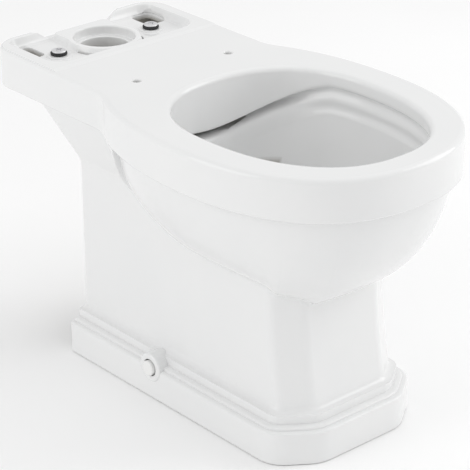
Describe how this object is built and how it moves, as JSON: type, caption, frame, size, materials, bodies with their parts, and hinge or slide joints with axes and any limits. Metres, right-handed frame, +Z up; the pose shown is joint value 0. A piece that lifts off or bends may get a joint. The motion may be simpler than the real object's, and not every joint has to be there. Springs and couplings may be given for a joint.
{
  "type": "toilet pan",
  "caption": "Close-coupled toilet pan with a rimless oval bowl, a moulded plinth, a cistern platform with bolts, and floor fixings.",
  "frame": {"origin": "on the floor, under the middle of the pan's box", "axes": "+Z up, -Y towards the front of the bowl, +Y towards the wall and the cistern platform, +X to the right seen from the front"},
  "size_m": [0.37, 0.67, 0.42],
  "materials": {
    "glazed_china": "gloss white glaze",
    "stainless_steel": "satin",
    "zinc_plated_steel": "zinc plated",
    "black_rubber": "matt",
    "grey_plastic": "matt",
    "white_plastic": "gloss"
  },
  "bodies": {
    "pan": {"plinth": "glazed_china", "pedestal": "glazed_china", "sump": "glazed_china", "trapway": "glazed_china", "outlet": "glazed_china", "right_bowl": "glazed_china", "left_bowl": "glazed_china", "rim": "glazed_china", "neck": "glazed_china", "skirt": "glazed_china", "flush_way": "glazed_china", "flush_cover": "glazed_china", "right_deck": "glazed_china", "left_deck": "glazed_china", "right_platform": "glazed_china", "left_platform": "glazed_china", "left_head_rubber": "black_rubber", "left_lower_rubber": "black_rubber", "left_steel_washer": "zinc_plated_steel", "left_fixing_sleeve": "grey_plastic", "left_floor_bracket": "zinc_plated_steel", "left_bracket_nut": "zinc_plated_steel", "right_head_rubber": "black_rubber", "right_lower_rubber": "black_rubber", "right_steel_washer": "zinc_plated_steel", "right_fixing_sleeve": "grey_plastic", "right_floor_bracket": "zinc_plated_steel", "right_bracket_nut": "zinc_plated_steel"},
    "left_bolt": {"left_cistern_bolt": "stainless_steel"},
    "left_nut": {"left_wing_nut": "zinc_plated_steel"},
    "left_screw": {"left_fixing_screw": "zinc_plated_steel"},
    "left_cap": {"left_fixing_cap": "white_plastic"},
    "right_bolt": {"right_cistern_bolt": "stainless_steel"},
    "right_nut": {"right_wing_nut": "zinc_plated_steel"},
    "right_screw": {"right_fixing_screw": "zinc_plated_steel"},
    "right_cap": {"right_fixing_cap": "white_plastic"}
  },
  "joints": [
    {"name": "left_bolt_turn", "type": "hinge", "parent": "pan", "child": "left_bolt", "pos_m": [-0.079, 0.262, 0.4129], "axis": [0, 0, 1], "continuous": true},
    {"name": "left_wing_nut_turn", "type": "hinge", "parent": "pan", "child": "left_nut", "pos_m": [-0.079, 0.262, 0.3937], "axis": [0, 0, 1], "continuous": true},
    {"name": "left_screw_turn", "type": "hinge", "parent": "pan", "child": "left_screw", "pos_m": [-0.1233, 0.027, 0.045], "axis": [-1, 0, 0], "continuous": true},
    {"name": "left_cap_pull", "type": "slide", "parent": "pan", "child": "left_cap", "axis": [-1, 0, 0], "range_m": [0, 0.03]},
    {"name": "right_bolt_turn", "type": "hinge", "parent": "pan", "child": "right_bolt", "pos_m": [0.079, 0.262, 0.4129], "axis": [0, 0, 1], "continuous": true},
    {"name": "right_wing_nut_turn", "type": "hinge", "parent": "pan", "child": "right_nut", "pos_m": [0.079, 0.262, 0.3937], "axis": [0, 0, 1], "continuous": true},
    {"name": "right_screw_turn", "type": "hinge", "parent": "pan", "child": "right_screw", "pos_m": [0.1233, 0.027, 0.045], "axis": [1, 0, 0], "continuous": true},
    {"name": "right_cap_pull", "type": "slide", "parent": "pan", "child": "right_cap", "axis": [1, 0, 0], "range_m": [0, 0.03]}
  ]
}
